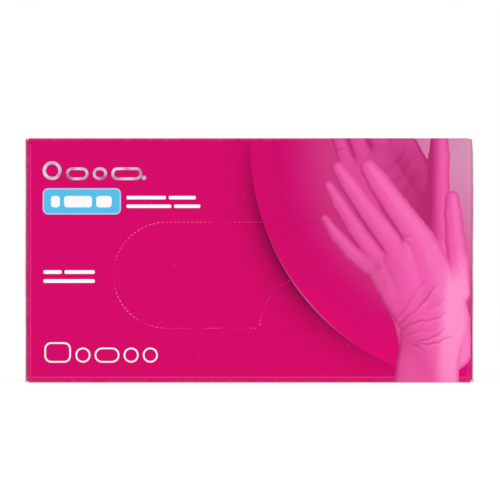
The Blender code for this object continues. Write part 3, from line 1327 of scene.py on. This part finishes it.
def pictureSheet():
    cell = hands["cell"]
    left, right, low, high = 34.0, 108.5, -10.0, 157.0
    columns, rows = round((right - left) / cell), round((high - low) / cell)
    shape = bmesh.new()
    spread = Matrix.Translation(((left + right) / 2, (low + high) / 2, 0)) @ Matrix.Diagonal(
        ((right - left) / 2, (high - low) / 2, 1, 1)
    )
    bmesh.ops.create_grid(shape, x_segments=columns, y_segments=rows, size=1, matrix=spread)
    flat = bpy.data.meshes.new("flatPicture")
    shape.to_mesh(flat)
    shape.free()
    spots = np.empty(len(flat.vertices) * 3)
    flat.vertices.foreach_get("co", spots)
    spots = spots.reshape(-1, 3)[:, :2].copy()
    for distance in (bothHands, frontHand, openingEdge):
        snapTo(spots, distance, 0.5 * cell)
    x, z = spots[:, 0], spots[:, 1]
    ink = shadeHand(x, z, hands["rear"])
    front = frontHand(x, z) < 0.02
    ink[front] = shadeHand(x[front], z[front], hands["front"])
    return flat, spots, ink


def picturePiece(name, flat, spots, ink, keep, body):
    shape = bmesh.new()
    shape.from_mesh(flat)
    inkLayer = shape.verts.layers.float_color.new("ink")
    for index, vert in enumerate(shape.verts):
        vert[inkLayer] = (*ink[index], 1)
        vert.co = ontoSleeve(spots[index][0] * mm, spots[index][1] * mm)
    gone = [face for index, face in enumerate(shape.faces) if not keep[index]]
    piece = addPiece(name, filmFrom(shape, name, gone, hands["sheet"]), [gloveInk], body)


print("printed picture")
flatPicture, pictureSpots, pictureInk = pictureSheet()
centres = np.array([pictureSpots[list(face.vertices)].mean(axis=0) for face in flatPicture.polygons])
inPicture = bothHands(centres[:, 0], centres[:, 1]) < 0
onOpening = openingEdge(centres[:, 0], centres[:, 1]) < 0
picturePiece("printedHands", flatPicture, pictureSpots, pictureInk, inPicture & ~onOpening, "carton")
picturePiece(
    "printedHandsOnPanel", flatPicture, pictureSpots, pictureInk, inPicture & onOpening, "dispensing_panel"
)


stack = {
    "layers": 5,
    "film": 0.34 * mm,
    "nestWave": 0.30 * mm,  # the same in every bundle, so that they nest
    "stagger": 1.5 * mm,
    "grid": 13 * mm,
    "coverCell": 0.85 * mm,
    "coverRise": 1.45 * mm,
    "coverFilm": 0.12 * mm,
    "cuffHeight": 44.0,  # in millimetres, as are the two that follow
    "cuffGap": 10.5,
    "beadHalf": 0.95,
}


def nest(x, z):
    return stack["nestWave"] * noise.noise(Vector((x / 0.028, z / 0.024, 7.1)))


def addLayer(shape, box, index, seed):
    (left, near, low), (right, far, high) = box
    pitch = (far - near) / stack["layers"]
    outline = roundedOutline(left, right, low, high, 14 * mm, 8)
    fine = []
    for place, way, passed in walkOutline(outline, 4 * mm):
        pull = stack["stagger"] * (0.08 + abs(noise.noise(Vector((place[0] * 45, place[1] * 45, seed)))))
        fine.append((place[0] - way[1] * pull, place[1] + way[0] * pull))
    start = near + pitch * index + (pitch - stack["film"]) / 2
    face = shape.faces.new([shape.verts.new((x, start, z)) for x, z in fine])
    pushFaces(shape, [face], (0, stack["film"], 0))


def makeBundle(number):
    node = "glove_bundle_" + str(number).zfill(2)
    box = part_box(node)
    shape = bmesh.new()
    for index in range(stack["layers"]):
        addLayer(shape, box, index, number * 7.3 + index * 1.9)
    gridCuts(shape, stack["grid"])
    for vert in shape.verts:
        vert.co.y += nest(vert.co.x, vert.co.z)
    mesh = meshFrom(shape, "gloves" + str(number).zfill(2))
    piece = addPiece(mesh.name, mesh, [film], "carton")
    mesh.shade_smooth()
    mesh.set_sharp_from_angle(angle=math.radians(40))
    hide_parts(node)
    return box


def cuffLine(x):
    return stack["cuffHeight"] + 2.6 * np.sin(x / 27 + 0.6) + 1.1 * np.sin(x / 9.5)


def lowerCuffLine(x):
    # the cuff of the glove behind, which peeps out below
    return cuffLine(x + 14) - stack["cuffGap"] + 0.05 * x


def alongCuffs(x, z):
    # bends the rows of the grid so that they run along both cuffs
    upper = cuffLine(x) - stack["cuffHeight"]
    lowerHeight = stack["cuffHeight"] - stack["cuffGap"]
    lower = lowerCuffLine(x) - lowerHeight
    share = np.clip((z - lowerHeight) / stack["cuffGap"], 0, 1)
    past = np.maximum(z - stack["cuffHeight"], 0) + np.maximum(lowerHeight - z, 0)
    return z + (lower + (upper - lower) * share) * np.exp(-(past / 18) ** 2)


def folds(turns, width):
    # rounded swells with narrow valleys between them
    return 1 - np.exp(-(np.sin(turns) / width) ** 2)


def coverRelief(x, z):
    # the front glove as it lies: a rolled cuff across the opening, gathers above it, the next glove below
    above = z - cuffLine(x)
    step = 1 / (1 + np.exp(-above * 2.2))
    bead = np.sqrt(np.clip(1 - (above / stack["beadHalf"]) ** 2, 0, 1))
    bend = x + 3.2 * np.sin(z / 15 + 0.4) + 0.16 * above * np.sin(x / 31)
    gathers = folds(bend / 3.1 + 1.3 * np.sin(bend / 10.5), 0.62)
    fine = folds(bend / 1.7 + 1.9 * np.sin(bend / 4.4 + z / 9), 0.75)
    gathers = (gathers + 0.30 * fine) * np.exp(-np.maximum(above, 0) / 19) * step
    creases = folds(x / 7.1 + z / 5.3 + 2.1 * np.sin(z / 13 - x / 29), 0.58)
    crossed = folds(x / 9.7 - z / 6.5 + 2.6 * np.sin(z / 19 + x / 16), 0.52)
    below = folds(x / 4.9 - z / 8.1 + 1.7 * np.sin(x / 17), 0.58) * (1 - step)
    belowCuff = z - lowerCuffLine(x)
    secondBead = np.sqrt(np.clip(1 - (belowCuff / stack["beadHalf"]) ** 2, 0, 1)) * (1 - step)
    height = 0.45 * step + 0.62 * bead + 0.30 * gathers + 0.16 * creases + 0.12 * crossed
    # two fingers folded back over the palm
    for finger in ((((-58.0, 61.0), 7.6), ((-6.0, 70.5), 6.0)), (((66.0, 74.0), 8.0), ((12.0, 62.0), 5.6))):
        height += 0.34 * rise(-strokeDistance(x, z, finger), 0.45)
    return height + 0.22 * below + 0.40 * secondBead


def makeCover(box):
    # a finely creased glove in front of the front bundle
    (left, near, low), (right, far, high) = box
    shape = bmesh.new()
    left, right, low, high = left + 3 * mm, right - 3 * mm, low + 2 * mm, high - 3 * mm
    place = Matrix.Translation(((left + right) / 2, near, (low + high) / 2)) @ Matrix.Rotation(
        math.radians(90), 4, "X"
    ) @ Matrix.Diagonal(((right - left) / 2, (high - low) / 2, 1, 1))
    columns, rows = round((right - left) / stack["coverCell"]), round((high - low) / stack["coverCell"])
    bmesh.ops.create_grid(shape, x_segments=columns, y_segments=rows, size=1, matrix=place)
    x = np.array([vert.co.x for vert in shape.verts])
    z = alongCuffs(x / mm, np.array([vert.co.z for vert in shape.verts]) / mm) * mm
    height = coverRelief(x / mm, z / mm)
    beside = [(1.3, 0), (-1.3, 0), (0, 1.3), (0, -1.3), (0.9, 0.9), (-0.9, -0.9), (0.9, -0.9), (-0.9, 0.9)]
    around = sum(coverRelief(x / mm + across, z / mm + up) for across, up in beside) / len(beside)
    # painted shade: how far each point lies below the points around it, so that the creases come out darker
    hollowShade = np.clip((around - height) * 4.2, 0, 0.72)
    creaseShadeLayer = shape.verts.layers.float.new("creaseShade")
    # round corners, and edges that settle onto the bundle
    corner = 15 * mm
    awayX = np.maximum(np.abs(x - (left + right) / 2) - (right - left) / 2 + corner, 0)
    awayZ = np.maximum(np.abs(z - (low + high) / 2) - (high - low) / 2 + corner, 0)
    edge = np.hypot(awayX, awayZ) / corner
    settle = np.clip((1 - edge) / 0.3, 0, 1)
    for index, vert in enumerate(shape.verts):
        lift = (0.18 * mm + stack["coverRise"] * height[index] / 2.1) * (0.25 + 0.75 * settle[index])
        vert.co.z = z[index]
        vert.co.y = near - 0.30 * mm - lift + nest(vert.co.x, vert.co.z)
        vert[creaseShadeLayer] = hollowShade[index]
    gone = [face for face in shape.faces if max(edge[vert.index] for vert in face.verts) > 1.0]
    mesh = filmFrom(shape, "frontGlove", gone, stack["coverFilm"])
    piece = addPiece("frontGlove", mesh, [film], "carton")


print("stacked gloves")
for number in range(1, 21):
    frontBundle = makeBundle(number)
makeCover(frontBundle)


studio = {
    "floorTone": linear(140, 140, 140),
    "floorGlow": 0.82,
    # each light's name, place, power and size
    "lights": (
        ("keyLight", (-0.9, -1.3, 1.1), 5.9, 0.9),
        ("fillLight", (1.1, -1.2, 0.5), 2.6, 0.9),
        ("topLight", (0.1, 0.2, 1.5), 2.2, 1.0),
    ),
    "worldLight": 0.65,
    "cameraAway": 2.2,
    "viewWidth": 245 * mm,
    "aimHeight": 65.1 * mm,
    "aimAcross": 0.35 * mm,
}


def addArea(name, place, power, size):
    light = bpy.data.lights.new(name, "AREA")
    light.energy = power
    light.shape = "DISK"
    light.size = size
    holder = bpy.data.objects.new(name, light)
    bpy.context.scene.collection.objects.link(holder)
    holder.location = place
    toMiddle = Vector((0, 0, cartonHeight / 2)) - Vector(place)
    holder.rotation_euler = toMiddle.to_track_quat("-Z", "Y").to_euler()


def addStudio():
    shape = bmesh.new()
    bmesh.ops.create_grid(shape, x_segments=1, y_segments=1, size=3)
    floor = bpy.data.objects.new("floor", meshFrom(shape, "floor"))
    bpy.context.scene.collection.objects.link(floor)
    material, tree, shader = newMaterial("paleFloor", 0.9, 0.0)
    shader.inputs["Base Color"].default_value = studio["floorTone"]
    shader.inputs["Emission Color"].default_value = (1, 1, 1, 1)
    shader.inputs["Emission Strength"].default_value = studio["floorGlow"]
    floor.data.materials.append(material)
    world = bpy.data.worlds.new("studioWorld")
    world.use_nodes = True
    tree = world.node_tree
    toEye = tree.nodes["Background"]
    toEye.inputs["Color"].default_value = (1, 1, 1, 1)
    toEye.inputs["Strength"].default_value = 1.0
    toThings = nodeOf(tree, "ShaderNodeBackground", {"Color": (1, 1, 1, 1), "Strength": studio["worldLight"]})
    path = nodeOf(tree, "ShaderNodeLightPath")
    both = nodeOf(tree, "ShaderNodeMixShader", {0: path.outputs["Is Camera Ray"], 1: toThings.outputs[0]})
    tree.links.new(toEye.outputs[0], both.inputs[2])
    tree.links.new(both.outputs[0], tree.nodes["World Output"].inputs[0])
    bpy.context.scene.world = world
    for light in studio["lights"]:
        addArea(*light)


def addCamera():
    lens = bpy.data.cameras.new("camera")
    lens.sensor_width = 36
    lens.lens = 36 * (studio["cameraAway"] - halfDepth) / studio["viewWidth"]
    lens.clip_start = 0.05
    lens.clip_end = 20
    camera = bpy.data.objects.new("camera", lens)
    bpy.context.scene.collection.objects.link(camera)
    camera.location = (studio["aimAcross"], -studio["cameraAway"], studio["aimHeight"])
    camera.rotation_euler = (math.radians(90), 0, 0)
    bpy.context.scene.camera = camera


print("floor, light and camera")
addStudio()
addCamera()
bpy.context.scene.view_settings.view_transform = "Standard"
